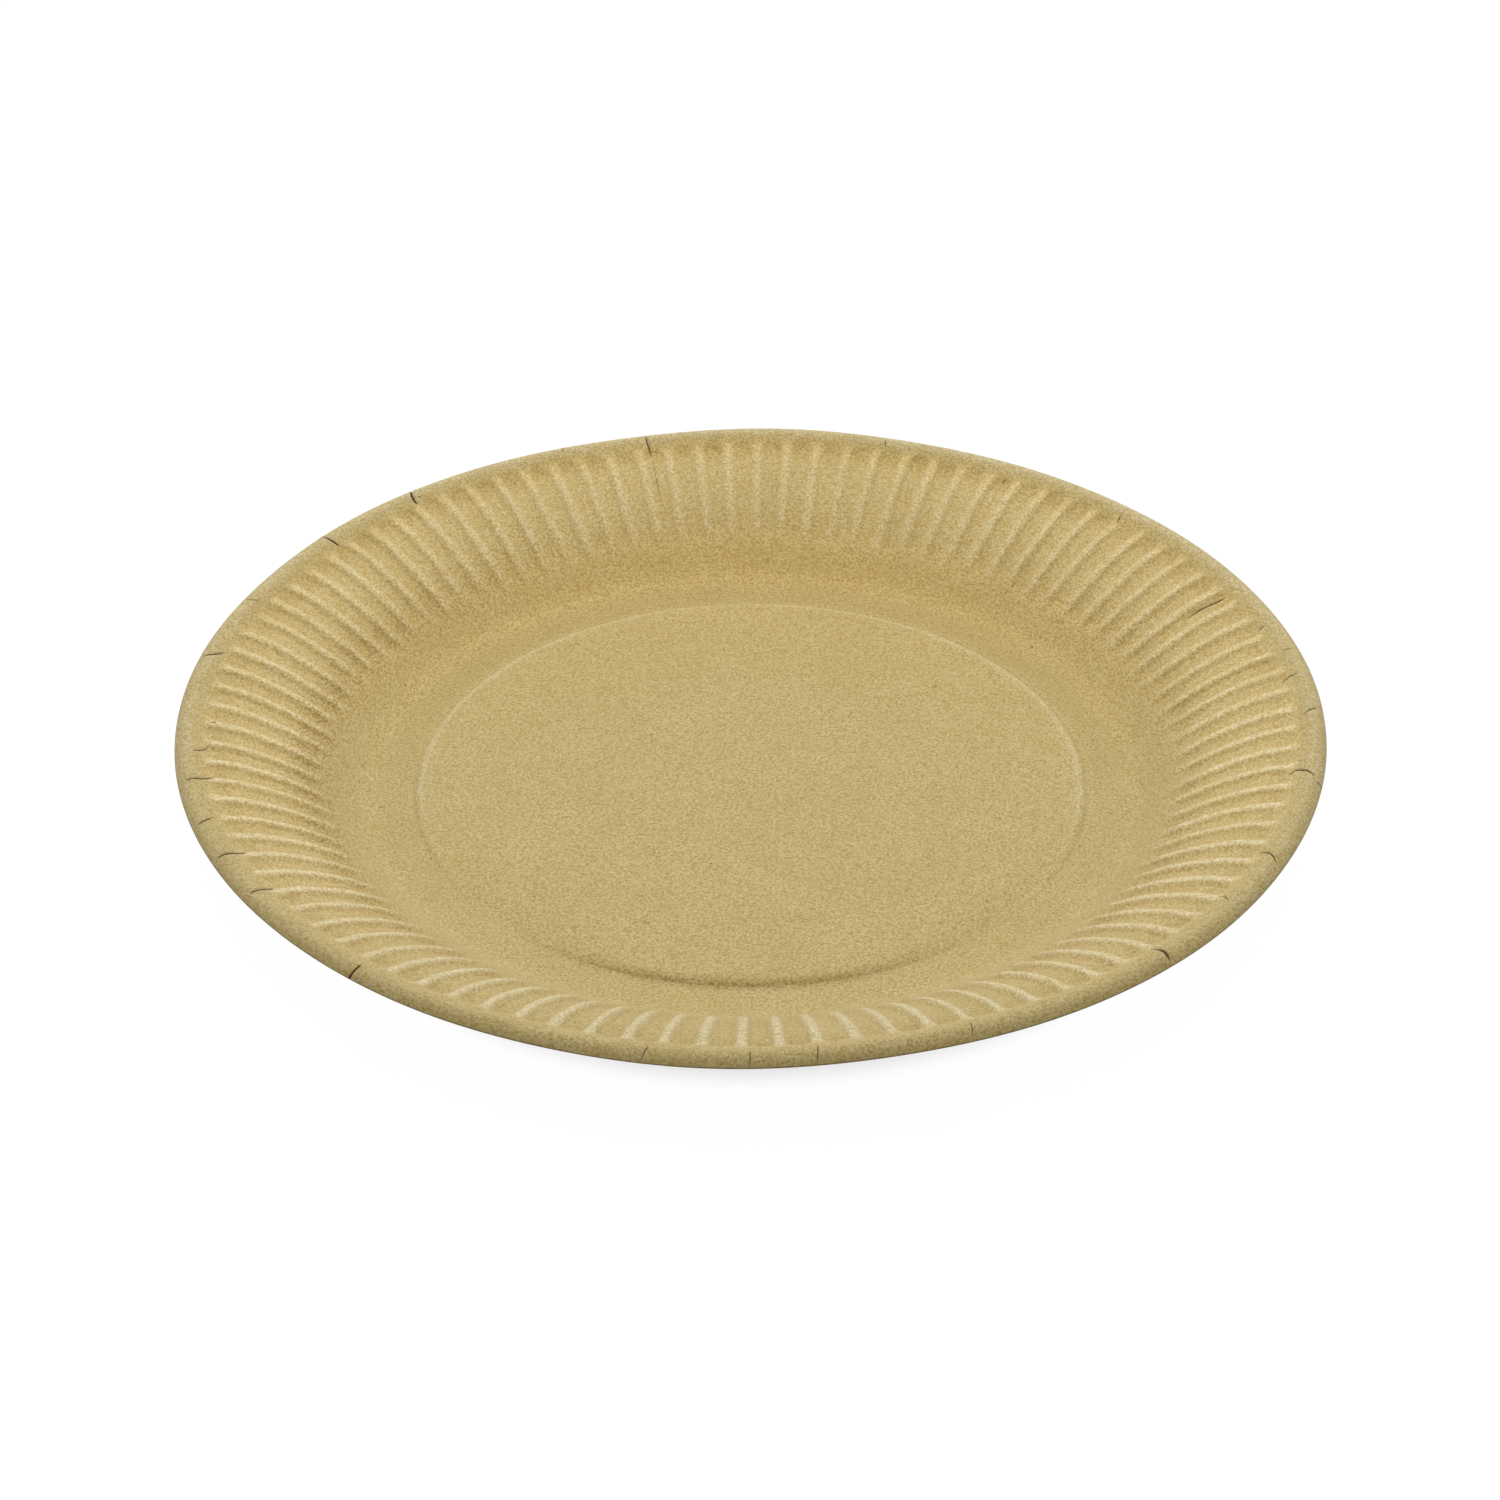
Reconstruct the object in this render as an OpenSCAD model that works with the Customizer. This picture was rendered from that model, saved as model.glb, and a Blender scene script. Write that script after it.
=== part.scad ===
/* [Plate] */
// Outer diameter of the plate
plate_d = 230; // [200:1:260]
// Height of the crest of the rim above the table
plate_h = 20.4; // [17:0.1:22]
// Thickness of the paper board
board = 0.5; // [0.3:0.05:0.7]

/* [Centre] */
// Width of the flat ring on which the plate stands, from the foot of the wall in to the crease
foot_w = 7.2; // [4:0.2:20]
// Rise of the centre inside the crease
centre_rise = 1.2; // [0.5:0.05:1.6]
// Width of the slope from the crease up to the raised centre
step_w = 2.4; // [1.5:0.1:5]

/* [Wall] */
// Slope of the wall, in degrees above level
wall_angle = 33.5; // [30:0.5:38]
// Radius of the bend from the floor into the wall
foot_r = 10; // [8:0.5:12]
// Radius of the bend from the wall into the rim
shoulder_r = 11; // [8:0.5:14]

/* [Rim] */
// Width of the lip outside the crest
lip_w = 2.8; // [2.5:0.1:4.5]
// Fall of the lip from the crest to the edge
lip_drop = 1.9; // [1:0.1:2.2]

/* [Flutes] */
// Number of flutes pressed into the wall
flute_count = 100; // [80:1:110]
// Depth of a flute below the ridges beside it
flute_depth = 0.8; // [0.5:0.05:1.2]
// Width of the flat top of a ridge
ridge_w = 1.4; // [0.8:0.1:1.8]
// Width of the slope on each side of a ridge
side_w = 1.1; // [0.9:0.1:1.3]
// Length over which a flute runs out at its inner end
run_out = 4.5; // [3:0.1:5.5]
// Length over which a flute runs out at its outer end
end_run = 2.5; // [1.5:0.1:4]
// Gap between the end of the foot bend and the inner ends of the flutes
foot_gap = 3.1; // [0.5:0.1:4]
// Gap between the outer ends of the flutes and the crest
crest_gap = 2.9; // [1.5:0.1:5]

/* [Hidden] */
kraft = [0.75, 0.67, 0.46];
crest_r = plate_d / 2 - lip_w;
// Radius of the lip's arc, which is level at the crest, and its slope at the edge
lip_r = (lip_w * lip_w + lip_drop * lip_drop) / (2 * lip_drop);
edge_slope = asin(lip_w / lip_r);
// The straight wall, from its foot to its top
top_r = crest_r - shoulder_r * sin(wall_angle);
top_z = plate_h - shoulder_r * (1 - cos(wall_angle));
foot_z = board + foot_r * (1 - cos(wall_angle));
wall_run = (top_z - foot_z) / tan(wall_angle);
floor_r = top_r - wall_run - foot_r * sin(wall_angle);
crease_r = floor_r - foot_w;
// The floor laps this far into the foot of the wall
lap = 0.3;

// Height of the upper face at a radius from the axis
function face_z(r) =
    r < floor_r ? board :
    r < top_r - wall_run ? board + foot_r - sqrt(foot_r ^ 2 - (r - floor_r) ^ 2) :
    r < top_r ? top_z - (top_r - r) * tan(wall_angle) :
    r < crest_r ? plate_h - shoulder_r + sqrt(shoulder_r ^ 2 - (crest_r - r) ^ 2) :
    plate_h - lip_r + sqrt(lip_r ^ 2 - (r - crest_r) ^ 2);

// Slope of the upper face there, in degrees
function face_slope(r) =
    r < floor_r ? 0 :
    r < top_r - wall_run ? asin((r - floor_r) / foot_r) :
    r < top_r ? wall_angle :
    r < crest_r ? asin((crest_r - r) / shoulder_r) :
    -asin((r - crest_r) / lip_r);

// Point at a depth square to the upper face, turned about the axis
function face_point(r, depth, turn) =
    let (a = face_slope(r), x = r + depth * sin(a))
    [x * cos(turn), x * sin(turn), face_z(r) - depth * cos(a)];

// The flutes start a little above the foot bend and stop short of the crest
foot_bend_w = foot_r * sin(wall_angle);
inner_end = floor_r + foot_bend_w + foot_gap;
outer_end = crest_r - crest_gap;

// Stations across the wall, each with its radius, its share of the flute depth, and whether flutes cross it
// The foot bend and the lip each have one half way round their arc
stations = [
    [floor_r, 0, false],
    [floor_r + foot_r * sin(wall_angle / 2), 0, false],
    [inner_end, 0, true],
    [inner_end + run_out, 1, true],
    [outer_end - end_run, 1, true],
    [outer_end, 0, true],
    [crest_r, 0, false],
    [crest_r + lip_r * sin(edge_slope / 2), 0, false],
    [plate_d / 2, 0, false]
];

// A ring of points along one station, on the upper face at depth 0 or on the lower face at the board's depth
// With flutes, each flute has the two edges of a ridge and the two edges of the flute's own bottom
// Without flutes, each flute has the middle of the ridge and the middle of the bottom
pitch = 360 / flute_count;
side_angle = atan(flute_depth / side_w);
function ring_points(s, depth) =
    let (r = s[0], d = s[1] * flute_depth, draw_in = depth * tan(side_angle / 2) * s[1],
         top = (ridge_w / 2 - draw_in) / r * 180 / PI,
         bottom = (ridge_w / 2 + side_w - draw_in) / r * 180 / PI)
    [for (i = [0:flute_count - 1]) let (turn = i * pitch)
        each s[2]
            ? [face_point(r, depth, turn - top), face_point(r, depth, turn + top),
               face_point(r, depth + d, turn + bottom), face_point(r, depth + d, turn + pitch - bottom)]
            : [face_point(r, depth, turn), face_point(r, depth, turn + pitch / 2)]];

// The rings run out over the upper face and back under the lower face
last = len(stations) - 1;
ring_total = 2 * len(stations);
function station_of(k) = k <= last ? k : 2 * last + 1 - k;
function fluted(k) = stations[station_of(k % ring_total)][2];
function ring_size(k) = flute_count * (fluted(k) ? 4 : 2);
function ring_start(k, n = 0, sum = 0) = n == k % ring_total ? sum : ring_start(k, n + 1, sum + ring_size(n));
starts = [for (k = [0:ring_total - 1]) ring_start(k)];

// Index of a point, where both the ring and the place along it wrap round
function at(k, i) = starts[k % ring_total] + i % ring_size(k);

// Triangles between two rings of the same size
function even_band(k) = [for (i = [0:ring_size(k) - 1])
    each [[at(k, i), at(k + 1, i + 1), at(k + 1, i)], [at(k, i), at(k, i + 1), at(k + 1, i + 1)]]];

// Triangles between a plain ring p and a fluted ring f
function mixed_band(p, f) = [for (i = [0:ring_size(p) - 1])
    each [[at(p, i), at(f, 2 * i + 1), at(f, 2 * i)], [at(p, i), at(f, 2 * i + 2), at(f, 2 * i + 1)],
          [at(p, i), at(p, i + 1), at(f, 2 * i + 2)]]];
function flipped(faces) = [for (f = faces) [f[0], f[2], f[1]]];
function band(k) =
    fluted(k) == fluted(k + 1) ? even_band(k) :
    fluted(k + 1) ? mixed_band(k, k + 1) :
    flipped(mixed_band(k + 1, k));

// The fluted wall and the rim, as one pressed sheet
module fluted_wall() {
    points = [for (k = [0:ring_total - 1]) each ring_points(stations[station_of(k)], k > last ? board : 0)];
    faces = [for (k = [0:ring_total - 1]) each band(k)];
    polyhedron(points, faces);
}

// The floor with its raised centre, revolved from its section
module floor_disc() {
    centre_r = crease_r - step_w;
    rotate_extrude($fn = 360)
        polygon([
            [0, centre_rise], [centre_r, centre_rise], [crease_r, 0], [floor_r + lap, 0],
            [floor_r + 2 * lap, board / 2], [floor_r + lap, board],
            [crease_r, board], [centre_r, board + centre_rise], [0, board + centre_rise]
        ]);
}

module plate() {
    color(kraft)
    union() {
        floor_disc();
        fluted_wall();
    }
}

plate();
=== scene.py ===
import math
import random
from collections import namedtuple

import bpy
import numpy as np
from mathutils import Matrix, Vector


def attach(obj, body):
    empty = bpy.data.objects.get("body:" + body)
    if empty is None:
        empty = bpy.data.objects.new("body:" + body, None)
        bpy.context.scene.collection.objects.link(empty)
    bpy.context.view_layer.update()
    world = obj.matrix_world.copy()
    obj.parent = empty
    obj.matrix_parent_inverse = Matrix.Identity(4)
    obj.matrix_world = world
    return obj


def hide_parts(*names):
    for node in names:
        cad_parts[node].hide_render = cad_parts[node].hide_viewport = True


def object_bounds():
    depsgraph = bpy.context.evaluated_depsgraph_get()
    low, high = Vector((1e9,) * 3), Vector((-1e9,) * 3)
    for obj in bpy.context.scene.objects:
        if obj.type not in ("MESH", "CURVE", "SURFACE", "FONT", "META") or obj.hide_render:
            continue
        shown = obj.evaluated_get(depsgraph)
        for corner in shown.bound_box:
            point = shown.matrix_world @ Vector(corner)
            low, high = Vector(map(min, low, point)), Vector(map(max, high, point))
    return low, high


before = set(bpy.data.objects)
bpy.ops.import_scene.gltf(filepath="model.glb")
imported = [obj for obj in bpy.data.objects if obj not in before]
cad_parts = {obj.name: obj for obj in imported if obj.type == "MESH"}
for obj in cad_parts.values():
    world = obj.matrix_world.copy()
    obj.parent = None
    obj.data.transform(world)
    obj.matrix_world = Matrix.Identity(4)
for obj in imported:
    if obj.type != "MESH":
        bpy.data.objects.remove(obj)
cad_box = [[float(v) for v in corner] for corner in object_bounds()]

MM = 0.001

# Sizes of the plate in millimetres and degrees: the first two from the CAD box, the rest as in the CAD source
plate_d = round((cad_box[1][0] - cad_box[0][0]) / MM, 2)
plate_h = round(cad_box[1][2] / MM, 2)
board = 0.5
foot_w = 7.2
centre_rise = 1.2
step_w = 2.4
wall_angle = math.radians(33.5)
foot_r = 10.0
shoulder_r = 11.0
lip_w = 2.8
lip_drop = 1.9
flute_count = 100
flute_depth = 0.8
run_out = 4.5
end_run = 2.5
foot_gap = 3.1
crest_gap = 2.9
# The ridges' tops are narrower and their sides wider than in the CAD source, to look as round as real ones
ridge_w = 1.0
side_w = 1.3
# The real wall isn't quite straight: it bows up in its lower half, and sags where the flutes end
bow_rise = 2.1
rim_sag = 1.1

# Radii and heights worked out from them, as in the CAD source
edge_r = plate_d / 2
crest_r = edge_r - lip_w
lip_r = (lip_w ** 2 + lip_drop ** 2) / (2 * lip_drop)
edge_slope = math.asin(lip_w / lip_r)
top_r = crest_r - shoulder_r * math.sin(wall_angle)
top_z = plate_h - shoulder_r * (1 - math.cos(wall_angle))
foot_z = board + foot_r * (1 - math.cos(wall_angle))
wall_run = (top_z - foot_z) / math.tan(wall_angle)
wall_start = top_r - wall_run
floor_r = wall_start - foot_r * math.sin(wall_angle)
crease_r = floor_r - foot_w
centre_r = crease_r - step_w
inner_end = wall_start + foot_gap
outer_end = crest_r - crest_gap
pitch = 2 * math.pi / flute_count

# Where the wall bows and where it sags
bow_start = floor_r + 0.7
bow_end = outer_end - 4.3
sag_start = outer_end - 5.8
sag_end = crest_r + 0.8

# The flutes' bottoms run on a little past their outer ends, into the bend of the shoulder
press_end = outer_end + 0.9
# How softly a flute's bottom meets the smooth face
press_softness = 0.06
# The pale tops of the ridges, board worn pale with a painted highlight, fade in at their inner ends, and fade
# out a little short of their outer ends
top_fade_in = 3.0
top_fade_out = 1.5
top_fade_gap = 0.4
# Depth of the line that is pressed into the board at the foot of the raised centre
line_depth = 0.08

# Camera at the photograph's angle: its height and turn round the plate, its distance in radii of the plate,
# the radius in pixels that the plate would have if it faced the camera, and how far its aim is off the middle
camera_rise = math.radians(34.40)
camera_turn = math.radians(1.01)
camera_roll = math.radians(-0.247)
distance_in_radii = 6.159
plate_radius_px = 562.56
aim_px = (0.57, 32.6)
frame_px = 1500
lens_px = distance_in_radii * plate_radius_px
camera_distance = distance_in_radii * edge_r * MM

# Cracks in the rim. Their ends were picked in the photograph, and are in its own pixels
# The outer end comes first, then the inner end, and then the width and the depth in millimetres
SeenCrack = namedtuple("SeenCrack", "outer_px inner_px width depth")
seen_cracks = [SeenCrack(*row) for row in (
    ((411, 491), (418, 502), 0.40, 0.40),
    ((313, 541), (341, 543), 0.35, 0.35),
    ((244, 600), (260, 598), 0.25, 0.25),
    ((202, 657), (225, 650), 0.45, 0.45),
    ((198, 682), (205, 682), 0.25, 0.20),
    ((209, 717), (219, 717), 0.30, 0.25),
    ((191, 748), (210, 739), 0.30, 0.25),
    ((184, 781), (216, 772), 0.40, 0.40),
    ((198, 825), (212, 816), 0.35, 0.30),
    ((216, 860), (247, 848), 0.45, 0.45),
    ((249, 895), (277, 883), 0.40, 0.40),
    ((348, 980), (362, 964), 0.35, 0.30),
    ((564, 446), (564, 451), 0.25, 0.20),
    ((645, 435), (652, 451), 0.50, 0.50),
    ((652, 451), (663, 515), 0.20, 0.15),
    ((886, 439), (886, 444), 0.25, 0.20),
    ((1007, 474), (1002, 478), 0.25, 0.20),
    ((1122, 512), (1117, 519), 0.25, 0.25),
    ((1227, 591), (1187, 619), 0.35, 0.30),
    ((1265, 624), (1256, 631), 0.25, 0.25),
    ((1294, 650), (1281, 650), 0.25, 0.20),
    ((1299, 673), (1280, 678), 0.30, 0.25),
    ((1317, 710), (1301, 715), 0.35, 0.35),
    ((1316, 778), (1287, 768), 0.40, 0.35),
    ((1277, 865), (1256, 849), 0.35, 0.35),
    ((1229, 900), (1218, 891), 0.25, 0.25),
    ((1171, 961), (1150, 943), 0.50, 0.50),
    ((1043, 1005), (1038, 996), 0.15, 0.20),
    ((972, 1040), (967, 1018), 0.15, 0.20),
    ((907, 1050), (907, 1040), 0.15, 0.15),
    ((817, 1064), (817, 1043), 0.15, 0.25),
    ((750, 1067), (750, 1049), 0.15, 0.25),
    ((640, 1060), (648, 1043), 0.15, 0.25),
)]
# A crack whose outer end is seen off the edge runs out over it, to this radius
open_end_r = edge_r + 0.2
# A crack's path bows by this share of its drift, and one that is open at the edge closes over its last sixth
crack_bow = 0.35
crack_closing = 1 / 6
# The lips of a crack stand up by a share of its depth, this many widths from its middle
lip_share = 0.18
lip_place = 1.5
# A crack of this depth or more has a fully dark core, painted shade of the crevice with torn fibre in it
dark_depth = 0.3

# A sharp fold along the top of one ridge, with its ends as seen in the photograph
fold_outer_px = (252, 655)
fold_inner_px = (302, 688)
fold_height = 0.25
fold_width = 0.35

# Marks on the board, each kept as a share from 0 to 1 at every point of the mesh. Most of them carry painted
# light and shade
mark_names = (
    "rubbed_and_highlight", "torn_core_and_shade", "edge_shade", "crease_shade", "rumpled_foot_shade",
    "wall_light", "back_shade", "flat_shade", "pressed", "lip_shade",
)

# Small differences between the flutes, and slow waves round the rim as counts, heights and lags
hand = random.Random(61)
ridge_shift = np.array([hand.uniform(-0.16, 0.16) for _ in range(flute_count)])
ridge_share = np.array([hand.uniform(0.82, 1.2) for _ in range(flute_count)])
depth_share = np.array([hand.uniform(0.86, 1.1) for _ in range(flute_count)])
outer_shift = np.array([hand.uniform(-0.3, 0.3) for _ in range(flute_count)])
inner_shift = np.array([hand.uniform(-0.6, 0.6) for _ in range(flute_count)])
rim_waves = [(n, hand.uniform(0.03, 0.1), hand.uniform(0, 2 * math.pi)) for n in (2, 3, 4, 5, 7, 9, 13)]


# Small tools for places and angles
def eased(t):
    """A soft step from 0 to 1."""
    t = np.clip(t, 0, 1)
    return t * t * (3 - 2 * t)


def beyond(r, start, width):
    """0 as far as a radius, then a soft step up to 1 over a width."""
    return float(eased((r - start) / width))


def within(r, start, width):
    """1 as far as a radius, then a soft step down to 0 over a width."""
    return 1 - beyond(r, start, width)


def near(away, width, power=2):
    """1 at a place, fading to 0 on both sides of it."""
    return np.exp(-(np.abs(away / width) ** power))


def turn_between(a, b):
    """Angle from b to a, at most half a turn either way."""
    return (a - b + math.pi) % (2 * math.pi) - math.pi


def towards_back(turns):
    """0 in the front half of the plate, rising to 1 at the back."""
    return np.clip(np.sin(turns), 0, 1)


def towards_front(turns):
    """0 in the back half of the plate, rising to 1 at the front."""
    return np.clip(-np.sin(turns), 0, 1)


# Form of the pressed board
def plain_height(r):
    """Height of the smooth upper face with a straight wall, as in the CAD source."""
    r = np.asarray(r, float)
    step = centre_rise * (1 - np.clip((r - centre_r) / step_w, 0, 1) ** 2.2)
    return np.select(
        [r < crease_r, r < floor_r, r < wall_start, r < top_r, r < crest_r],
        [
            board + step,
            np.full_like(r, board),
            board + foot_r - np.sqrt(np.maximum(foot_r ** 2 - (r - floor_r) ** 2, 0)),
            top_z - (top_r - r) * math.tan(wall_angle),
            plate_h - shoulder_r + np.sqrt(np.maximum(shoulder_r ** 2 - (crest_r - r) ** 2, 0)),
        ],
        plate_h - lip_r + np.sqrt(np.maximum(lip_r ** 2 - (r - crest_r) ** 2, 0)),
    )


def wall_bow(r):
    """Height by which the wall bows up in its lower half, less its sag where the flutes end."""
    bow = np.sin(math.pi * np.clip((r - bow_start) / (bow_end - bow_start), 0, 1))
    sag = np.sin(math.pi * np.clip((r - sag_start) / (sag_end - sag_start), 0, 1)) ** 2
    return bow_rise * bow - rim_sag * sag


def face_height(r):
    """Height of the smooth upper face, before the flutes are pressed in."""
    return plain_height(r) + wall_bow(r)


def face_slope(r):
    """Slope of that face outside the floor, as an angle above level."""
    if r < floor_r:
        return 0.0
    reach = 0.02
    return math.atan(float(face_height(r + reach) - face_height(r - reach)) / (2 * reach))


def bend_drop(r):
    """How far the shoulder has bent below the line of the wall. The flutes' bottoms run on straight."""
    if r < top_r:
        return 0.0
    straight = top_z - (top_r - r) * math.tan(wall_angle)
    return (straight - float(plain_height(r))) * math.cos(wall_angle)


def flute(r, turns):
    """Depth of the flutes below the smooth face, and how much of a ridge top a place is."""
    place = turns / pitch
    left = np.floor(place).astype(int)
    right = left + 1
    here = left % flute_count
    following = right % flute_count
    from_left = (place - left) * pitch * r - ridge_shift[here] - ridge_w / 2 * ridge_share[here]
    from_right = (right - place) * pitch * r + ridge_shift[following] - ridge_w / 2 * ridge_share[following]
    half = (from_left + from_right) / 2
    across = (from_left - from_right) / 2

    # The outer end of a flute is rounded, and its inner end runs out slowly
    to_outer = press_end + outer_shift[here] - r
    from_inner = r - (inner_end + inner_shift[here])
    corner = np.maximum(end_run - to_outer, 0) * half / end_run
    inside = half - np.hypot(across, corner)
    share = eased(inside / side_w) * eased(from_inner / run_out) * (to_outer > 0)
    depth = flute_depth * depth_share[here] * share - bend_drop(r)
    press = (depth + np.hypot(depth, press_softness) - press_softness) / 2 * (share > 0)

    # The pale tops, worn board with a painted highlight, spread over a wider band at the front and the back
    # than at the sides
    in_flutes = eased(from_inner / top_fade_in) * eased((to_outer - top_fade_gap) / top_fade_out)
    spread = 0.9 + 0.8 * np.sin(turns) ** 2
    ridge = (1 - eased(np.minimum(from_left, from_right) / spread + 0.3)) * in_flutes
    return np.maximum(press, 0), ridge


# Places on the plate that are seen at pixels of the photograph
def turned(a, b, angle):
    """Two directions square to each other, turned together in their plane."""
    return a * math.cos(angle) + b * math.sin(angle), b * math.cos(angle) - a * math.sin(angle)


def camera_axes():
    """Where the camera is, in metres, and its directions to the right, up and forward."""
    eye = camera_distance * Vector((
        math.sin(camera_turn) * math.cos(camera_rise),
        -math.cos(camera_turn) * math.cos(camera_rise),
        math.sin(camera_rise),
    ))
    forward = -eye.normalized()
    right = forward.cross(Vector((0, 0, 1))).normalized()
    up = right.cross(forward)
    forward, right = turned(forward, right, -math.atan2(aim_px[0], lens_px))
    forward, up = turned(forward, up, math.atan2(aim_px[1], lens_px))
    right, up = turned(right, up, camera_roll)
    return eye, right, up, forward


def place_seen(pixel):
    """Radius in millimetres and angle in degrees of the place on the plain upper face that a pixel shows."""
    eye, right, up, forward = camera_axes()
    across = (pixel[0] - frame_px / 2) / lens_px
    down = (pixel[1] - frame_px / 2) / lens_px
    ray = np.array(forward + right * across - up * down)
    ray = ray / np.linalg.norm(ray)
    middle = camera_distance / MM
    reach = 1.3 * edge_r
    look_step = 0.05
    distances = np.arange(middle - reach, middle + reach, look_step)[:, None]
    points = np.array(eye) / MM + distances * ray
    radii = np.hypot(points[:, 0], points[:, 1])
    reached = (points[:, 2] < plain_height(np.minimum(radii, edge_r))) & (radii < edge_r + 0.3)
    # A pixel just off the edge is taken at the height of the edge
    edge_z = plate_h - lip_drop - board / 2
    first = np.argmax(reached) if reached.any() else np.argmin(np.abs(points[:, 2] - edge_z))
    x, y = points[first, :2]
    return min(float(radii[first]), open_end_r), math.degrees(math.atan2(y, x))


Crack = namedtuple("Crack", "outer inner turn_out turn_in width depth")


def found_crack(seen):
    """A crack with the radii in millimetres and the angles in degrees of its ends."""
    outer, turn_out = place_seen(seen.outer_px)
    inner, turn_in = place_seen(seen.inner_px)
    return Crack(outer, inner, turn_out, turn_in, seen.width, seen.depth)


cracks = [found_crack(seen) for seen in seen_cracks]
fold_outer, fold_turn = place_seen(fold_outer_px)
fold_inner = place_seen(fold_inner_px)[0]


# Cracks and the fold in the form of the board
def crack_angle(crack, r):
    """Angle of a crack's path at a radius. It drifts from its inner end to its outer end, in a slight bow."""
    t = np.clip((r - crack.inner) / (crack.outer - crack.inner), 0, 1)
    drift = crack.turn_out - crack.turn_in
    bow = crack_bow * np.sin(math.pi * t) * math.radians(abs(drift))
    return np.radians(crack.turn_in + drift * t) + bow


def crack_cut(r, turns):
    """How far the cracks cut below the face, and how dark their core is painted, as shade in the crevice with
    torn fibre.
    """
    cut = np.zeros_like(turns)
    core = np.zeros_like(turns)
    core_reach = 0.02
    for crack in cracks:
        if not crack.inner <= r <= crack.outer:
            continue
        t = (r - crack.inner) / (crack.outer - crack.inner)
        open_at_edge = crack.outer > edge_r
        strength = min(1, t / crack_closing) if open_at_edge else math.sin(math.pi * t) ** 0.5
        off = np.abs(turn_between(turns, crack_angle(crack, r))) * r
        inside = np.clip(1 - off / crack.width, 0, 1)
        lips = lip_share * near(off - lip_place * crack.width, crack.width) * (off > core_reach)
        cut += strength * crack.depth * (inside - lips)
        core = np.maximum(core, strength * (off < core_reach) * min(1, crack.depth / dark_depth))
    return cut, core


def fold_rise(r, turns):
    """Height of the sharp fold on one ridge."""
    if not fold_inner < r < fold_outer:
        return np.zeros_like(turns)
    t = (r - fold_inner) / (fold_outer - fold_inner)
    off = turn_between(turns, math.radians(fold_turn)) * r
    return fold_height * math.sin(math.pi * t) * near(off, fold_width)


def side_of_plate(turns, middle, reach, power=2):
    """1 at an angle in degrees, fading to 0 a reach away from it on both sides."""
    return near(turn_between(turns, math.radians(middle)), math.radians(reach), power)


def soft_step(r, turns):
    """How far the edge of the raised centre is lowered at the front corners, where the step is soft."""
    if r >= crease_r:
        return np.zeros_like(turns)
    extra_w = 4
    wide = centre_rise * within(r, centre_r - extra_w, step_w + extra_w)
    corners = side_of_plate(turns, -43, 20) + side_of_plate(turns, -137, 20)
    return corners * max(float(plain_height(r)) - board - wide, 0)


# Marks and tones of the board, most of them painted light and shade. Each gives the share of its mark at a
# radius, for all angles at once
def crease_shade_mark(r, turns):
    """The shallow groove round the raised centre with painted shade in it, and painted shade on the step at
    its front.
    """
    front = side_of_plate(turns, -93, 28, 4)
    back = side_of_plate(turns, 60, 48, 4)
    line_r = crease_r + 0.16
    line = near(r - line_r, 0.36) * (0.22 + 0.5 * front + 0.34 * back)
    step = beyond(r, centre_r + 1.4, 1.3) * within(r, crease_r + 0.6, 1.1) * 0.8 * front
    return line, step


def rubbed_and_highlit_edges(r, turns):
    """Pale edge of the raised centre and crest of the rim, weaker at the front: board worn pale, with a
    painted highlight.
    """
    round_centre = np.clip(1 + 1.5 * np.sin(turns), 0, 1) * (1 - 0.55 * towards_back(turns) ** 12)
    centre_edge = near(r - centre_r - 0.9, 0.8) * round_centre
    crest = near(r - crest_r - 0.3, 1.5) * (0.8 + 0.4 * np.sin(turns))
    return 0.6 * centre_edge + 0.5 * crest


def rumpled_foot_shade(r, turns):
    """Darker band at the inner ends of the flutes, strongest on the left: painted shade in the foot of the
    wall, and wrinkled board.
    """
    band = beyond(r, floor_r + 7, 4) * within(r, floor_r + 13, 7)
    side = 0.35 + 0.65 * (0.5 - 0.5 * np.cos(turns)) ** 0.8
    return band * side * (1 - 0.6 * np.abs(np.sin(turns)) ** 3)


def flat_shade(r, turns):
    """Painted shade on the flat ring round the raised centre, which fades out towards the front."""
    band = beyond(r, crease_r + 0.3, 1.5) * within(r, floor_r - 1.5, 3)
    return band * np.clip(0.65 + 0.65 * np.sin(turns), 0, 1)


def back_shade(r, turns):
    """Painted shade, darker and browner, at the back of the centre, at the back of the floor and below the
    crest at the back.
    """
    centre = 0.55 * beyond(r, 12, centre_r - 12) * within(r, crease_r, 2.5)
    foot = beyond(r, crease_r, 2.5) * within(r, floor_r + 8, 8)
    rim = near(r - outer_end + 1, 2.6)
    return towards_back(turns) ** 0.8 * max(centre, foot, rim)


def wall_light(r, turns):
    """Painted light on the wall, which starts higher and fades out towards the front."""
    low_start = 0.1 + 0.9 * towards_back(turns)
    rise = low_start * beyond(r, floor_r + 0.5, 2.5) + (1 - low_start) * beyond(r, floor_r + 8, 10)
    band = rise * within(r, outer_end - 1, 2.5)
    return band * (0.08 + 0.92 * (1 - towards_front(turns) ** 2))


def lip_shade(r, turns):
    """Painted shade on the rim and lip, strongest at the front."""
    return beyond(r, outer_end + 0.5, 3) * np.clip(0.3 - 0.7 * np.sin(turns), 0, 1)


upper_tones = {"rumpled_foot_shade": rumpled_foot_shade, "wall_light": wall_light, "back_shade": back_shade, "flat_shade": flat_shade}


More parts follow.
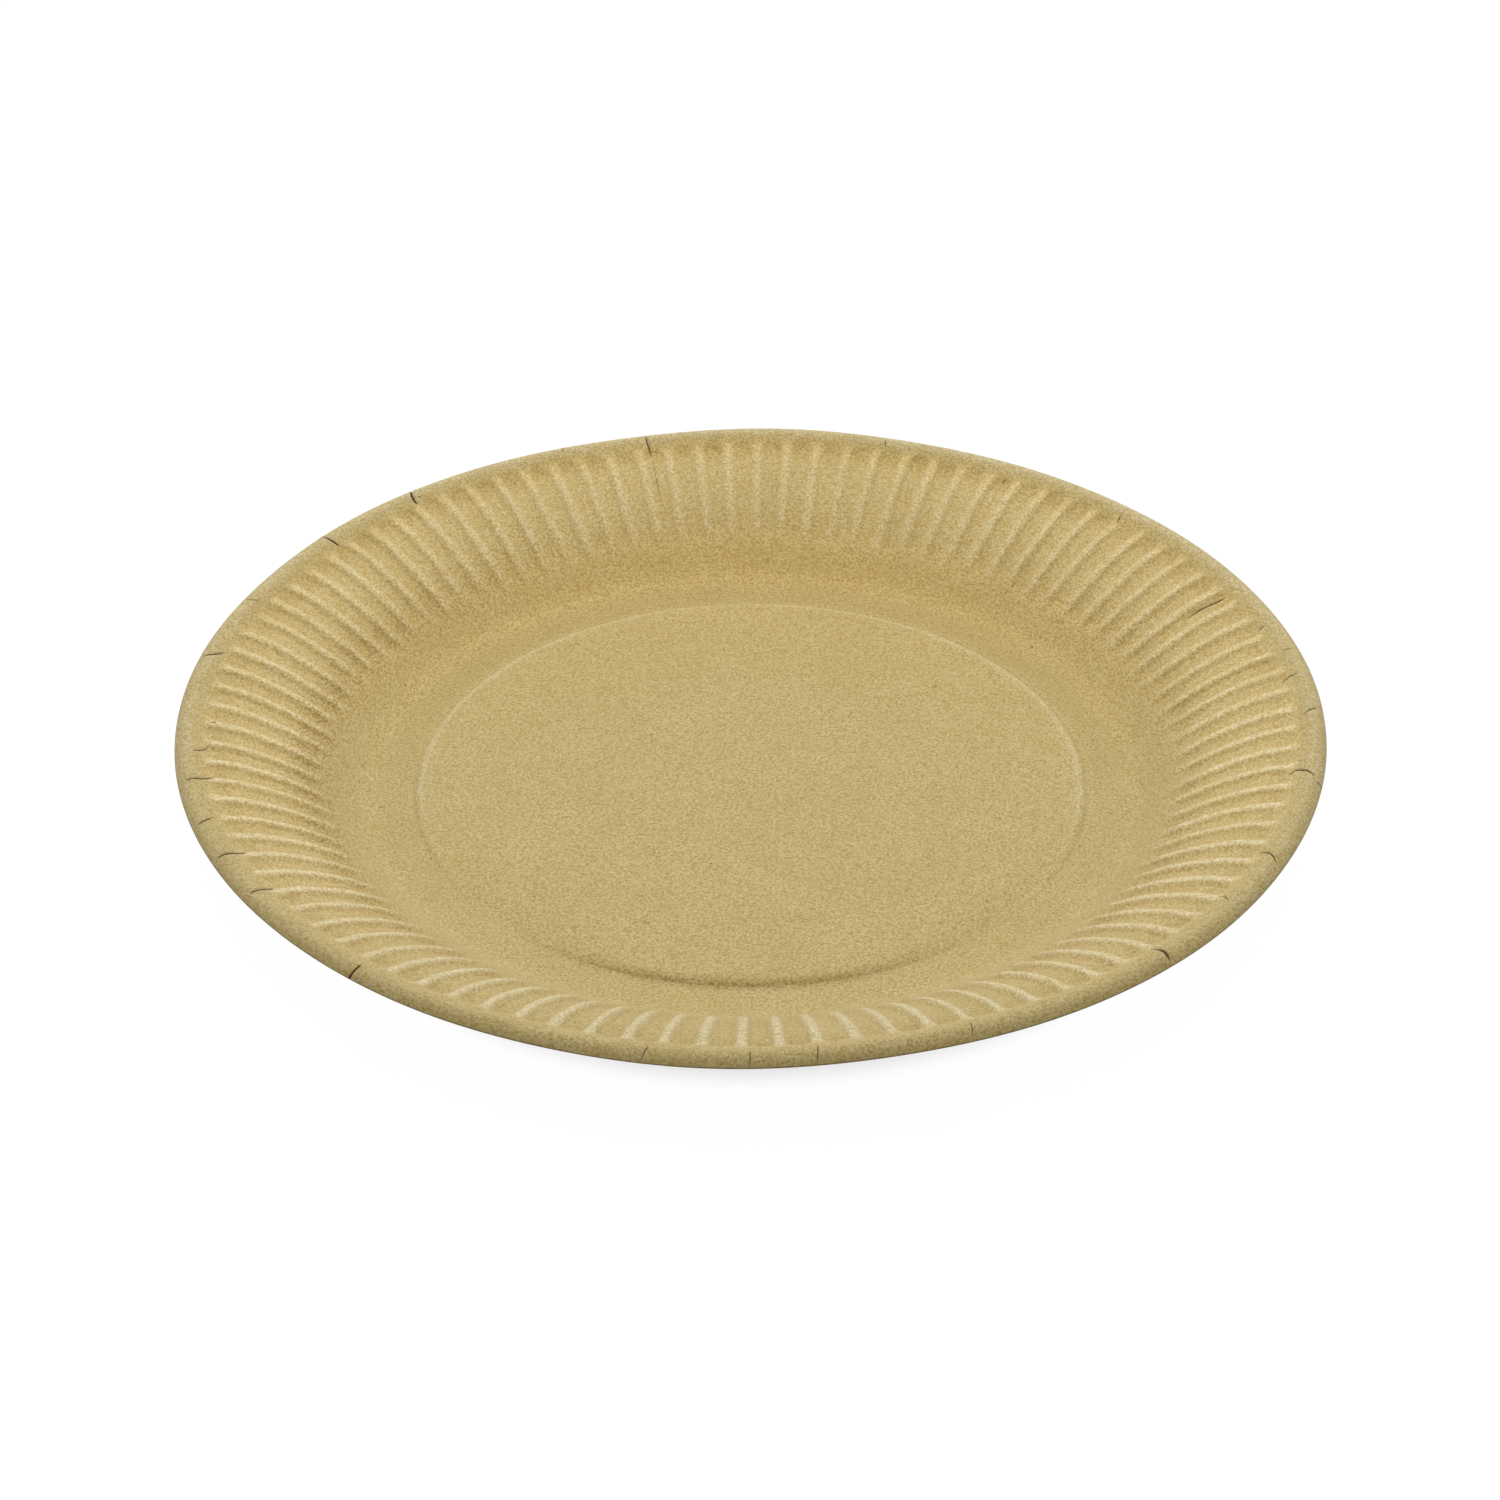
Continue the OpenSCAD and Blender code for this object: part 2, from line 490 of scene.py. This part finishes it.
def ring_of_points(r, depth, turns, upper):
    """Points of one ring round the plate, and the marks on each."""
    press, ridge = flute(r, turns)
    outer_cap = near(r - outer_end + 2.6, 2.2)
    marks = {name: np.zeros_like(turns) for name in mark_names}
    # Pale ridge tops, strongest at the front: worn board with a painted highlight
    marks["rubbed_and_highlight"] = ridge * (0.65 - 0.35 * np.sin(turns))
    # Painted shade along the cut edge
    marks["edge_shade"] = np.full_like(turns, float(r > edge_r - 0.1))
    # Painted shade in the flutes' hollows, strongest at their outer ends
    marks["pressed"] = press / flute_depth * (0.4 + 0.6 * outer_cap)
    # Painted shade on the lip, strongest at the front
    marks["lip_shade"] = lip_shade(r, turns)
    below = depth + press
    if upper:
        cut, marks["torn_core_and_shade"] = crack_cut(r, turns)
        # Painted shade in the crease and on the front of the step
        line, step = crease_shade_mark(r, turns)
        marks["rubbed_and_highlight"] = np.maximum(marks["rubbed_and_highlight"], rubbed_and_highlit_edges(r, turns))
        marks["crease_shade"] = np.maximum(line, step)
        for name, tone in upper_tones.items():
            marks[name] = tone(r, turns)
        below = below + cut - fold_rise(r, turns) + line_depth * line
    slope = face_slope(r)
    wave = sum(height * np.cos(n * turns + lag) for n, height, lag in rim_waves)
    lift = beyond(r, floor_r, edge_r - floor_r) * wave
    x = r + below * math.sin(slope)
    z = float(face_height(r)) - below * math.cos(slope) + lift - soft_step(r, turns)
    return np.stack([x * np.cos(turns), x * np.sin(turns), z], 1) * MM, marks


# Columns of points round the plate: even ones on the floor, and on the wall finer ones, closer at ridges
coarse_count = 240
coarse_turns = np.arange(coarse_count) * 2 * math.pi / coarse_count
across_flute = (0.0, 0.06, 0.12, 0.19, 0.27, 0.37, 0.5, 0.63, 0.73, 0.81, 0.88, 0.94)
# A crack has columns of its own, placed across it in shares of its width, and plain ones keep clear of them
across_crack = (-2.6, -1.05, 0.0, 1.05, 2.6)
crack_clearance = 3.2
# Radius at which distances to a crack are measured, and how far from a crack columns bend along with it
rim_r = 111.0
bend_reach = 6.0
crack_turns = np.array([math.radians(crack.turn_in) % (2 * math.pi) for crack in cracks])


def fine_columns():
    """Angles of the columns on the wall and the rim."""
    plain = np.array([(i + share) * pitch for i in range(flute_count) for share in across_flute])
    kept = np.ones(len(plain), bool)
    own = []
    for crack, turn in zip(cracks, crack_turns):
        kept &= np.abs(turn_between(plain, turn)) * rim_r >= crack_clearance * crack.width
        own += [(turn + share * crack.width / rim_r) % (2 * math.pi) for share in across_crack]
    return np.unique(np.concatenate([plain[kept], own]))


def drifted(turns, r):
    """The columns near a crack follow its path."""
    moved = turns.copy()
    for crack, turn in zip(cracks, crack_turns):
        away = np.abs(turn_between(turns, turn)) * rim_r
        fading = (1 - np.clip(away / bend_reach, 0, 1) ** 2) ** 2
        drift = float(turn_between(crack_angle(crack, r), turn))
        moved += drift * np.where(away < 3 * crack.width, 1, fading)
    return moved


# Radii of the rings, from the middle of the upper face out over the edge and back under to the middle
def rings_from(start, distances):
    """Rings at distances outside a radius, or inside it where they are negative."""
    return [start + distance for distance in distances]


def rings_on_lip(shares):
    """Rings at shares of the way round the lip's arc, from the crest to the edge."""
    return [crest_r + lip_r * math.sin(edge_slope * share) for share in shares]


flat_middle = (crease_r + floor_r) / 2
upper_floor = [
    6, 16, 28, 40, 50, 58,
    *rings_from(centre_r, (-4, -2.4, -1.2, 0, 0.5, 0.9, 1.25, 1.6, 1.9, 2.2)),
    *rings_from(crease_r, (-0.02, 0.16, 0.4, 0.75, 1.3, 2.2)),
    flat_middle + 1,
    *rings_from(floor_r, (0, 1.4, 2.8, 4.2)),
]
upper_wall = [
    *rings_from(wall_start, (0, 0.8)),
    *rings_from(inner_end, (0, 0.9, 1.8, 2.8, 4.2)),
    *rings_from(outer_end, (-18.7, -16.1, -13.3, -10.5, -7.9, -5.9)),
    *rings_from(outer_end, (-4.3, -3.3, -2.5, -1.9, -1.3, -0.7, -0.1)),
    *rings_from(crest_r, (-2.2, -1.3, -0.5)),
]
upper_lip = rings_on_lip((0.1, 0.24, 0.38, 0.52, 0.66, 0.79, 0.9, 0.97))
lower_lip = rings_on_lip((0.97, 0.75, 0.5, 0.25))
lower_wall = [
    *rings_from(crest_r, (-0.2, -1.6)),
    *rings_from(outer_end, (0.1, -0.7, -1.5, -2.5, -3.9, -6.3, -9.8, -13.8, -17.3, -19.9)),
    *rings_from(inner_end, (3.2, 1.8, 0.6)),
    wall_start + 0.4,
]
lower_floor = [
    *rings_from(floor_r, (4, 2, 0)),
    flat_middle,
    *rings_from(crease_r, (1, 0, -1)),
    *rings_from(centre_r, (1, 0)),
    58, 40, 22,
]

# The cut edge of the board is a little rounded
edge_round = 0.16
fine_turns = fine_columns()
rings = [(r, 0.0, coarse_turns, True) for r in upper_floor]
rings += [(r, 0.0, fine_turns, True) for r in upper_wall + upper_lip]
rings += [(edge_r, depth, fine_turns, False) for depth in (edge_round, board - edge_round)]
rings += [(r, board, fine_turns, False) for r in lower_lip + lower_wall]
rings += [(r, board, coarse_turns, False) for r in lower_floor]


def stitched(a, turns_a, b, turns_b):
    """Triangles between two rings that have different numbers of points."""
    faces = []
    i = j = 0
    n, m = len(turns_a), len(turns_b)
    while i < n or j < m:
        next_a = turns_a[i + 1] if i + 1 < n else 2 * math.pi + (i + 1 - n)
        next_b = turns_b[j + 1] if j + 1 < m else 2 * math.pi + (j + 1 - m)
        if j >= m or (i < n and next_a <= next_b):
            faces.append((a + i % n, b + j % m, a + (i + 1) % n))
            i += 1
        else:
            faces.append((a + i % n, b + j % m, b + (j + 1) % m))
            j += 1
    return faces


def plate_points():
    """Points of the whole board with their marks, and where each ring starts among them."""
    points = [[0, 0, (board + centre_rise) * MM]]
    marks = {name: [0.0] for name in mark_names}
    starts = []
    for r, depth, turns, upper in rings:
        turns = drifted(turns, r) if len(turns) != coarse_count else turns
        starts.append(len(points))
        ring, ring_marks = ring_of_points(r, depth, turns, upper)
        points.extend(ring.tolist())
        for name, values in ring_marks.items():
            marks[name].extend(values.tolist())
    points.append([0, 0, centre_rise * MM])
    for values in marks.values():
        values.append(0.0)
    return points, marks, starts


def plate_faces(starts, bottom):
    """Faces of the board, with a fan of triangles round the middle of each side."""
    faces = []
    first, last = starts[0], starts[-1]
    for i in range(coarse_count):
        j = (i + 1) % coarse_count
        faces.append((0, first + i, first + j))
        faces.append((bottom, last + j, last + i))
    for k in range(len(rings) - 1):
        a, b = starts[k], starts[k + 1]
        turns_a, turns_b = rings[k][2], rings[k + 1][2]
        n = len(turns_a)
        if n == len(turns_b):
            faces += [(a + i, b + i, b + (i + 1) % n, a + (i + 1) % n) for i in range(n)]
        else:
            faces += stitched(a, turns_a, b, turns_b)
    return faces


def build_plate():
    points, marks, starts = plate_points()
    faces = plate_faces(starts, len(points) - 1)
    mesh = bpy.data.meshes.new("plate_board")
    mesh.from_pydata(points, [], faces)
    for name, values in marks.items():
        layer = mesh.attributes.new(name, "FLOAT", "POINT")
        layer.data.foreach_set("value", np.array(values, np.float32))
    mesh.polygons.foreach_set("use_smooth", [True] * len(mesh.polygons))
    mesh.update()
    board_piece = bpy.data.objects.new("plate_board", mesh)
    bpy.context.scene.collection.objects.link(board_piece)
    return board_piece


# Tools for materials
def colour(r, g, b):
    """A colour as painters read it, 0 to 255, turned into linear light."""
    return [((v / 255 + 0.055) / 1.055) ** 2.4 for v in (r, g, b)] + [1.0]


class Bench:
    """Places nodes in a tree and joins them."""

    column_gap = 190
    row_gap = 160
    row_count = 5

    def __init__(self, tree):
        self.tree = tree
        self.placed = 0

    def node(self, kind, **settings):
        made = self.tree.nodes.new(kind)
        made.location = (self.placed * self.column_gap, -(self.placed % self.row_count) * self.row_gap)
        self.placed += 1
        for name, value in settings.items():
            setattr(made, name, value)
        return made

    def join(self, source, target):
        self.tree.links.new(source, target)

    def feed(self, value, socket):
        """A number or a colour is written on the socket, and anything else is joined to it."""
        if isinstance(value, (int, float, list, tuple)):
            socket.default_value = value
        else:
            self.join(value, socket)

    def math(self, operation, a, b=0.0, clamp=False):
        made = self.node("ShaderNodeMath", operation=operation, use_clamp=clamp)
        self.feed(a, made.inputs[0])
        self.feed(b, made.inputs[1])
        return made.outputs[0]

    def noise(self, vector, scale, detail=2.0, roughness=0.5):
        made = self.node("ShaderNodeTexNoise")
        made.inputs["Scale"].default_value = scale
        made.inputs["Detail"].default_value = detail
        made.inputs["Roughness"].default_value = roughness
        self.join(vector, made.inputs["Vector"])
        return made.outputs["Fac"]

    def remap(self, value, low, high, to_low=0.0, to_high=1.0):
        made = self.node("ShaderNodeMapRange", interpolation_type="SMOOTHSTEP")
        for name, number in zip(("From Min", "From Max", "To Min", "To Max"), (low, high, to_low, to_high)):
            made.inputs[name].default_value = number
        self.join(value, made.inputs["Value"])
        return made.outputs["Result"]

    def mix(self, share, a, b, blend="MIX"):
        made = self.node("ShaderNodeMix", data_type="RGBA", blend_type=blend)
        # Of the sockets of a colour mix, 0 is the share, 6 and 7 are the colours, and output 2 is the result
        self.feed(share, made.inputs[0])
        self.feed(a, made.inputs[6])
        self.feed(b, made.inputs[7])
        return made.outputs[2]

    def mixed_in(self, base, mask, strength, added):
        """A base colour with another laid over it where a mask is, at a strength."""
        return self.mix(self.math("MULTIPLY", mask, strength), base, added)


def seen_by_eye(bench):
    """1 for what the camera sees, straight, in a mirror or through glass, and 0 for light on the object."""
    path = bench.node("ShaderNodeLightPath")
    seen = bench.math("MAXIMUM", path.outputs["Is Camera Ray"], path.outputs["Is Glossy Ray"])
    return bench.math("MAXIMUM", seen, path.outputs["Is Transmission Ray"])


# Kraft board, the plate's one finish
tan_dark = colour(173, 142, 71)
tan_pale = colour(209, 193, 141)
grey_pulp = colour(186, 172, 116)
brown_pulp = colour(192, 158, 90)
pale_grain = colour(209, 191, 136)
brown_cloud = colour(180, 157, 96)
pale_fibre = colour(219, 203, 154)
dark_fibre = colour(144, 117, 64)
speck_brown = colour(96, 70, 34)
# Brown for painted shade along the cut edge
edge_shade_brown = colour(108, 86, 44)
# Brown for the crack cores: painted shade of the crevice with torn fibre
torn_and_shade_brown = colour(66, 42, 13)


def fibre_group():
    """Mask of short paper fibres that lie one way. Along and Across are scales, and Share is sparseness."""
    group = bpy.data.node_groups.new("Paper fibres", "ShaderNodeTree")
    group.interface.new_socket("Vector", in_out="INPUT", socket_type="NodeSocketVector")
    for name, value in (("Turn", 0.0), ("Along", 320.0), ("Across", 3200.0), ("Share", 0.6)):
        socket = group.interface.new_socket(name, in_out="INPUT", socket_type="NodeSocketFloat")
        socket.default_value = value
    group.interface.new_socket("Mask", in_out="OUTPUT", socket_type="NodeSocketFloat")
    bench = Bench(group)
    given = bench.node("NodeGroupInput")

    # The fibres wander a little from their straight way
    wander_size = 0.0016
    wander = bench.node("ShaderNodeTexNoise")
    wander.inputs["Scale"].default_value = 420
    wander.inputs["Detail"].default_value = 1
    bench.join(given.outputs["Vector"], wander.inputs["Vector"])
    centred = bench.node("ShaderNodeVectorMath", operation="SUBTRACT")
    bench.join(wander.outputs["Color"], centred.inputs[0])
    centred.inputs[1].default_value = [0.5] * 3
    bent = bench.node("ShaderNodeVectorMath", operation="MULTIPLY_ADD")
    bench.join(centred.outputs[0], bent.inputs[0])
    bent.inputs[1].default_value = [wander_size] * 3
    bench.join(given.outputs["Vector"], bent.inputs[2])

    turned = bench.node("ShaderNodeVectorRotate", rotation_type="Z_AXIS")
    bench.join(bent.outputs[0], turned.inputs["Vector"])
    bench.join(given.outputs["Turn"], turned.inputs["Angle"])
    stretch = bench.node("ShaderNodeCombineXYZ")
    bench.join(given.outputs["Along"], stretch.inputs["X"])
    bench.join(given.outputs["Across"], stretch.inputs["Y"])
    bench.join(given.outputs["Across"], stretch.inputs["Z"])
    scaled = bench.node("ShaderNodeVectorMath", operation="MULTIPLY")
    bench.join(turned.outputs[0], scaled.inputs[0])
    bench.join(stretch.outputs[0], scaled.inputs[1])
    strands = bench.noise(scaled.outputs[0], scale=1.0, detail=1.5, roughness=0.5)
    over = bench.math("SUBTRACT", strands, given.outputs["Share"])
    mask = bench.math("MULTIPLY", over, 9.0, clamp=True)
    result = bench.node("NodeGroupOutput")
    bench.join(mask, result.inputs["Mask"])
    return group


def kraft_board():
    material = bpy.data.materials.new("Kraft board")
    material.use_nodes = True
    bench = Bench(material.node_tree)
    shader = material.node_tree.nodes["Principled BSDF"]
    place = bench.node("ShaderNodeTexCoord").outputs["Object"]
    fibres = fibre_group()

    def strands(turn, along, across, share):
        made = bench.node("ShaderNodeGroup", node_tree=fibres)
        for name, value in (("Turn", turn), ("Along", along), ("Across", across), ("Share", share)):
            made.inputs[name].default_value = value
        bench.join(place, made.inputs["Vector"])
        return made.outputs["Mask"]

    def marked(name):
        return bench.node("ShaderNodeAttribute", attribute_name=name).outputs["Fac"]

    # Mottled tan, with greyer and browner pulp, pale grain and slow clouds
    cloud = bench.noise(place, scale=70, detail=2, roughness=0.5)
    mottle = bench.noise(place, scale=1900, detail=4, roughness=0.62)
    grain = bench.noise(place, scale=3600, detail=2, roughness=0.5)
    pulp = bench.noise(place, scale=560, detail=3, roughness=0.6)
    tan = bench.mix(bench.remap(mottle, 0.36, 0.64), tan_dark, tan_pale)
    tan = bench.mix(bench.remap(pulp, 0.52, 0.7, 0, 0.35), tan, grey_pulp)
    tan = bench.mix(bench.remap(pulp, 0.47, 0.32, 0, 0.35), tan, brown_pulp)
    tan = bench.mix(bench.remap(grain, 0.4, 0.66, 0, 0.4), tan, pale_grain)
    tan = bench.mix(bench.remap(cloud, 0.35, 0.65, 0, 0.16), tan, brown_cloud)

    # Pale and dark fibres, each set with its turn, its scales along and across, and how sparse it is
    pale = bench.math("MAXIMUM", strands(0.5, 300, 3000, 0.6), strands(2.3, 340, 3400, 0.62))
    pale = bench.math("MAXIMUM", pale, strands(1.5, 260, 2800, 0.63))
    dark = bench.math("MAXIMUM", strands(0.05, 320, 3000, 0.63), strands(1.9, 300, 3200, 0.64))
    tan = bench.mixed_in(tan, pale, 0.45, pale_fibre)
    tan = bench.mixed_in(tan, dark, 0.5, dark_fibre)

    # Scattered brown specks, in three cells out of ten
    specks = bench.node("ShaderNodeTexVoronoi")
    specks.inputs["Scale"].default_value = 150
    bench.join(place, specks.inputs["Vector"])
    close = bench.remap(specks.outputs["Distance"], 0.07, 0.02)
    draw = bench.node("ShaderNodeSeparateColor")
    bench.join(specks.outputs["Color"], draw.inputs[0])
    speck = bench.math("MULTIPLY", close, bench.math("GREATER_THAN", draw.outputs[0], 0.7))
    tan = bench.mixed_in(tan, speck, 0.6, speck_brown)

    # Tones that scale the board's colour where their marks are, so that its grain stays. Most of them are
    # painted light and shade, as each mark's function says
    # Blotchy painted shade in the foot of the wall, on wrinkled board
    blotchy_foot_shade = bench.math("MULTIPLY", marked("rumpled_foot_shade"), bench.remap(mottle, 0.56, 0.42))
    # Blotchy painted shade in the crease and on the front of the step
    blotchy_crease_shade = bench.math("MULTIPLY", marked("crease_shade"), bench.remap(mottle, 0.36, 0.56, 1.0, 0.45))
    tones = (
        (marked("wall_light"), (1.22, 1.21, 1.23)),
        (marked("pressed"), (0.86, 0.84, 0.80)),
        (marked("rubbed_and_highlight"), (1.20, 1.32, 1.80)),
        (marked("rumpled_foot_shade"), (0.96, 0.93, 0.87)),
        (blotchy_foot_shade, (0.86, 0.83, 0.75)),
        (marked("back_shade"), (0.98, 0.93, 0.82)),
        (marked("flat_shade"), (0.91, 0.91, 0.89)),
        (marked("lip_shade"), (0.88, 0.87, 0.80)),
        (blotchy_crease_shade, (0.62, 0.58, 0.50)),
    )
    for mark, ratio in tones:
        tan = bench.mix(mark, tan, [*ratio, 1.0], "MULTIPLY")

    # Painted shade along the cut edge of the board, and the dark core of the cracks, painted shade of the
    # crevice with torn fibre
    tan = bench.mixed_in(tan, marked("edge_shade"), 0.75, edge_shade_brown)
    tan = bench.mix(bench.remap(marked("torn_core_and_shade"), 0.1, 0.6, 0, 0.95), tan, torn_and_shade_brown)
    bench.join(tan, shader.inputs["Base Color"])

    bench.join(bench.remap(mottle, 0.3, 0.7, 0.94, 0.84), shader.inputs["Roughness"])
    shader.inputs["Specular IOR Level"].default_value = 0.25
    shader.inputs["Sheen Weight"].default_value = 0.15
    shader.inputs["Sheen Roughness"].default_value = 0.5

    height = bench.math("ADD", bench.math("MULTIPLY", mottle, 0.9), bench.math("MULTIPLY", grain, 0.5))
    height = bench.math("ADD", height, bench.math("MULTIPLY", pale, 0.18))
    bump = bench.node("ShaderNodeBump")
    bump.inputs["Strength"].default_value = 0.5
    bump.inputs["Distance"].default_value = 0.00022
    bench.join(height, bump.inputs["Height"])
    bench.join(bump.outputs["Normal"], shader.inputs["Normal"])
    return material


plate = build_plate()
plate.data.materials.append(kraft_board())
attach(plate, "root")
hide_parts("plate")


# Floor, which looks white and keeps a soft shadow, with a painted shadow close to the plate
def floor_paper():
    """Grey paper for the light, and for the eye a white glow with a painted shadow, dimmer close to the
    plate.
    """
    material = bpy.data.materials.new("Studio floor")
    material.use_nodes = True
    tree = material.node_tree
    tree.nodes.clear()
    bench = Bench(tree)
    pale = bench.node("ShaderNodeBsdfDiffuse")
    pale.inputs["Color"].default_value = (0.8, 0.8, 0.8, 1)
    shade = bench.node("ShaderNodeBsdfDiffuse")
    shade.inputs["Color"].default_value = (0.07, 0.07, 0.07, 1)
    # Occlusion dims the glow near the plate: a painted shadow
    under = bench.node("ShaderNodeAmbientOcclusion", samples=8)
    under.inputs["Distance"].default_value = 0.013
    glow = bench.node("ShaderNodeEmission")
    bench.join(bench.remap(under.outputs["AO"], 0.25, 0.86, 0.58, 0.985), glow.inputs["Strength"])
    white = bench.node("ShaderNodeAddShader")
    bench.join(shade.outputs[0], white.inputs[0])
    bench.join(glow.outputs[0], white.inputs[1])
    both = bench.node("ShaderNodeMixShader")
    bench.join(seen_by_eye(bench), both.inputs[0])
    bench.join(pale.outputs[0], both.inputs[1])
    bench.join(white.outputs[0], both.inputs[2])
    out = bench.node("ShaderNodeOutputMaterial")
    bench.join(both.outputs[0], out.inputs["Surface"])
    return material


def studio_floor():
    reach = 3.0
    gap = 0.0002
    corners = [(-reach, -reach, 0), (reach, -reach, 0), (reach, reach, 0), (-reach, reach, 0)]
    mesh = bpy.data.meshes.new("floor")
    mesh.from_pydata(corners, [], [(0, 1, 2, 3)])
    mesh.materials.append(floor_paper())
    sheet = bpy.data.objects.new("floor", mesh)
    sheet.location.z = -gap
    bpy.context.scene.collection.objects.link(sheet)
    return sheet


floor = studio_floor()


# Light: a dim even room, a large soft lamp overhead, and a weak one behind and at each side
def studio_room():
    """A room that lights the object dimly and looks white."""
    world = bpy.data.worlds.new("Studio room")
    bpy.context.scene.world = world
    world.use_nodes = True
    bench = Bench(world.node_tree)
    backdrop = world.node_tree.nodes["Background"]
    backdrop.inputs["Color"].default_value = (1, 1, 1, 1)
    level = bench.node("ShaderNodeMapRange")
    level.inputs["To Min"].default_value = 0.2
    level.inputs["To Max"].default_value = 1.0
    bench.join(seen_by_eye(bench), level.inputs["Value"])
    bench.join(level.outputs["Result"], backdrop.inputs["Strength"])


def lamp(name, place, size, power):
    """A soft square lamp that points at the plate. Its place and size are in metres, its power in watts."""
    light = bpy.data.lights.new(name, "AREA")
    light.shape = "SQUARE"
    light.size = size
    light.energy = power
    holder = bpy.data.objects.new(name, light)
    holder.location = place
    holder.rotation_euler = (-Vector(place)).to_track_quat("-Z", "Y").to_euler()
    bpy.context.scene.collection.objects.link(holder)


studio_room()
lamp("top_lamp", (0.0, 0.15, 1.25), 0.8, 9.0)
lamp("back_lamp", (0.0, 1.0, 0.95), 0.7, 4.8)
lamp("left_lamp", (-1.1, 0.1, 0.8), 0.7, 1.6)
lamp("right_lamp", (1.1, 0.1, 0.8), 0.7, 1.6)


# Camera, at the place and with the aim given above
def place_camera():
    sensor_mm = 36
    eye, right, up, forward = camera_axes()
    view = bpy.data.cameras.new("camera")
    view.sensor_fit = "HORIZONTAL"
    view.sensor_width = sensor_mm
    view.lens = sensor_mm * lens_px / frame_px
    view.clip_start = 0.01
    view.clip_end = 20
    camera = bpy.data.objects.new("camera", view)
    camera.matrix_world = Matrix((
        (right.x, up.x, -forward.x, eye.x),
        (right.y, up.y, -forward.y, eye.y),
        (right.z, up.z, -forward.z, eye.z),
        (0, 0, 0, 1),
    ))
    bpy.context.scene.collection.objects.link(camera)
    bpy.context.scene.camera = camera


place_camera()
bpy.context.scene.view_settings.view_transform = "Standard"
